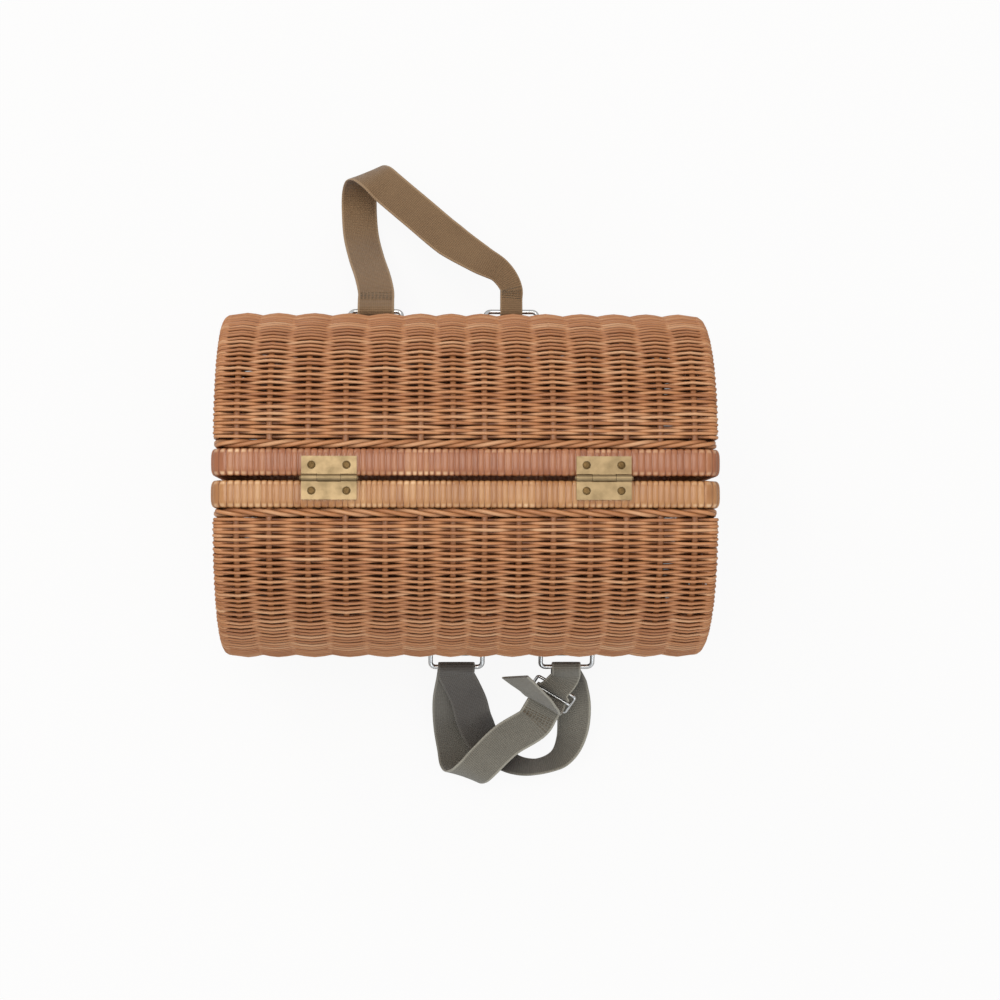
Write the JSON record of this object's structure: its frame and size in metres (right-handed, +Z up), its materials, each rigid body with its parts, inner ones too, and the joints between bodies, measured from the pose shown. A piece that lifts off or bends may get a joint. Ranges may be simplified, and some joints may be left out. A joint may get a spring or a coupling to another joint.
{
  "type": "picnic bag",
  "caption": "Barrel-shaped wicker picnic bag that opens lengthwise on butt hinges, with swing-hook clasps, a webbing carry handle and an adjustable webbing shoulder strap.",
  "frame": {"origin": "on the ground under the middle of the outline of the bag as it lies shut on its clasp side, straps laid out", "axes": "+X along the barrel, +Y from the base half and its shoulder strap to the lid half and its carry handle, +Z up, from the clasps to the hinges"},
  "size_m": [0.353, 0.4864, 0.2584],
  "materials": {
    "wicker": "satin varnished rattan strands",
    "cane": "satin varnished cane wrapping",
    "brass": "plated, satin",
    "steel": "nickel plated, polished",
    "leather": "smooth",
    "webbing": "matt woven cotton webbing"
  },
  "bodies": {
    "base": {"base_rim": "cane", "base_wale": "wicker", "base_curved_side": "wicker", "base_end_left": "wicker", "base_end_right": "wicker", "base_tab_left": "leather", "base_rivet_left": "brass", "base_tab_right": "leather", "base_rivet_right": "brass", "hinge_left_base_leaf": "brass", "hinge_left_pin": "brass", "hinge_left_base_screw_left": "brass", "hinge_left_base_screw_right": "brass", "clasp_pivot_left": "brass", "hinge_right_base_leaf": "brass", "hinge_right_pin": "brass", "hinge_right_base_screw_left": "brass", "hinge_right_base_screw_right": "brass", "clasp_pivot_right": "brass"},
    "lid": {"lid_rim": "cane", "lid_wale": "wicker", "lid_curved_side": "wicker", "lid_end_left": "wicker", "lid_end_right": "wicker", "lid_tab_left": "leather", "lid_rivet_left": "brass", "lid_tab_right": "leather", "lid_rivet_right": "brass", "hinge_left_lid_leaf": "brass", "hinge_left_lid_screw_left": "brass", "hinge_left_lid_screw_right": "brass", "clasp_post_left": "brass", "hinge_right_lid_leaf": "brass", "hinge_right_lid_screw_left": "brass", "hinge_right_lid_screw_right": "brass", "clasp_post_right": "brass"},
    "carry_handle": {"lid_ring_left": "steel", "lid_ring_right": "steel", "carry_strap": "webbing"},
    "shoulder_sling": {"base_ring_left": "steel", "base_ring_right": "steel", "shoulder_strap": "webbing", "strap_slide": "steel"},
    "hook_left": {"clasp_hook_left": "brass"},
    "hook_right": {"clasp_hook_right": "brass"}
  },
  "joints": [
    {"name": "lid_hinge", "type": "hinge", "parent": "base", "child": "lid", "pos_m": [0, -0.01358, 0.256], "axis": [1, 0, 0], "range_deg": [0, 180]},
    {"name": "carry_handle_swing", "type": "hinge", "parent": "lid", "child": "carry_handle", "pos_m": [-0.014, 0.10962, 0.07637], "axis": [1, 0, 0], "range_deg": [-50, 75]},
    {"name": "shoulder_sling_swing", "type": "hinge", "parent": "base", "child": "shoulder_sling", "pos_m": [0.038, -0.13678, 0.07637], "axis": [-1, 0, 0], "range_deg": [-50, 35]},
    {"name": "hook_left_swing", "type": "hinge", "parent": "base", "child": "hook_left", "pos_m": [-0.065, -0.02458, 0.00325], "axis": [0, 0, 1], "range_deg": [0, 90]},
    {"name": "hook_right_swing", "type": "hinge", "parent": "base", "child": "hook_right", "pos_m": [0.065, -0.02458, 0.00325], "axis": [0, 0, 1], "range_deg": [0, 90]}
  ]
}
